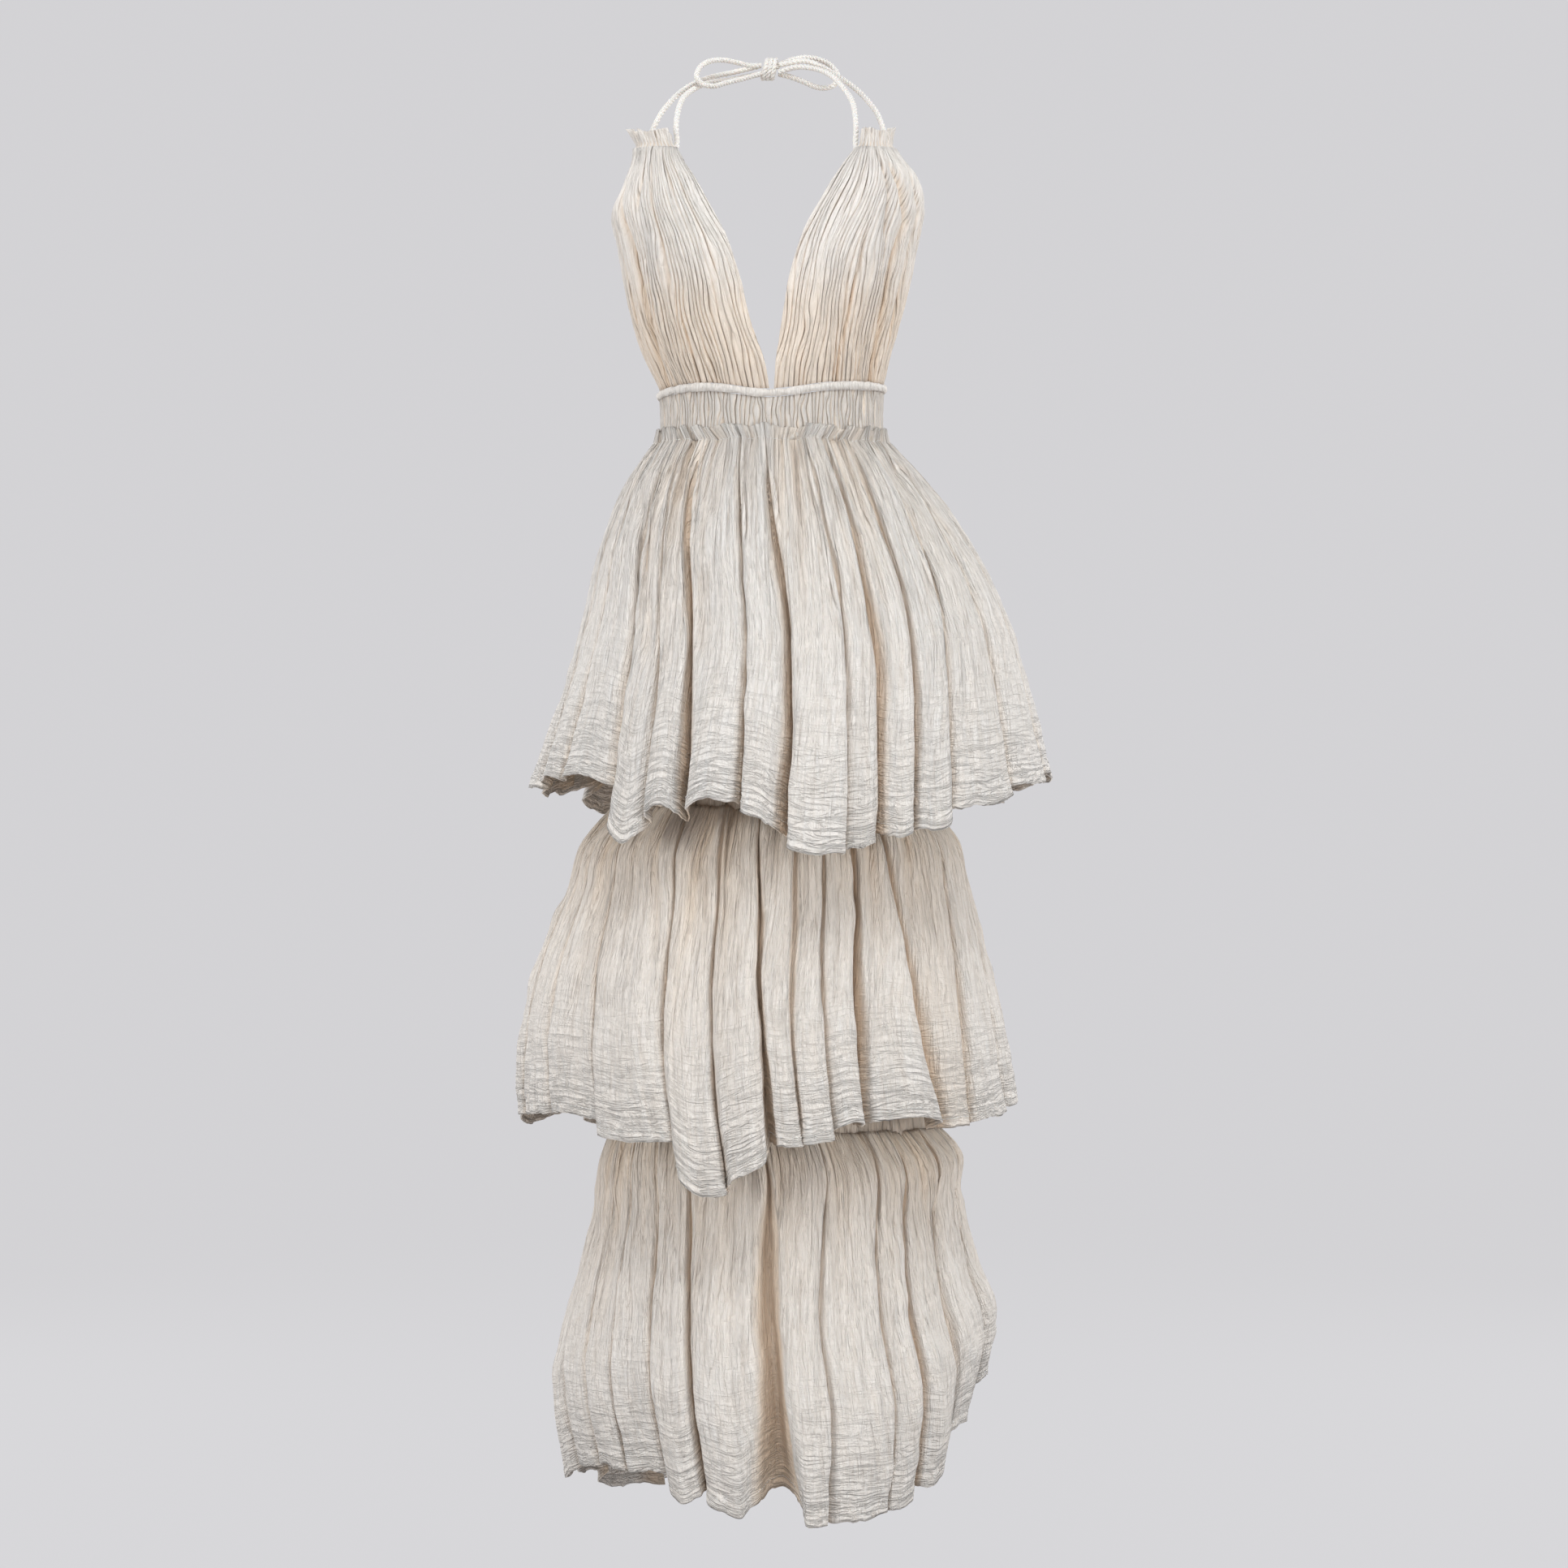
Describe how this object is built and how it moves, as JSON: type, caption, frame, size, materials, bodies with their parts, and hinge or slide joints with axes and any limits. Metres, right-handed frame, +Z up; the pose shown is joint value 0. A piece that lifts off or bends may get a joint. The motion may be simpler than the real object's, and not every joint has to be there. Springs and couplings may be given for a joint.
{
  "type": "tiered halter dress",
  "caption": "Backless halter maxi dress in crinkled cotton gauze, with gathered bodice panels, a shirred waist and gathered tiers, tied with a cord bow at the nape.",
  "frame": {"origin": "where the tied cords rest on the wearer's nape, at the front of the bow's knot", "axes": "+Z up, -Y the front of the dress, +X the wearer's left"},
  "size_m": [0.5525, 0.4385, 1.5153],
  "materials": {
    "gauze": "matt, crinkled",
    "cord": "matt, twisted"
  },
  "bodies": {
    "root": {"bodice_left": "gauze", "bodice_right": "gauze", "casing_left": "gauze", "casing_right": "gauze", "waist_piping": "gauze", "waistband": "gauze", "tier_1": "gauze", "tier_2": "gauze", "tier_3": "gauze", "underskirt": "gauze", "cord_right_inner": "cord", "cord_right_outer": "cord", "cord_left_inner": "cord", "cord_left_outer": "cord", "bow_loop_right": "cord", "bow_loop_left": "cord", "bow_knot": "cord"}
  },
  "joints": []
}
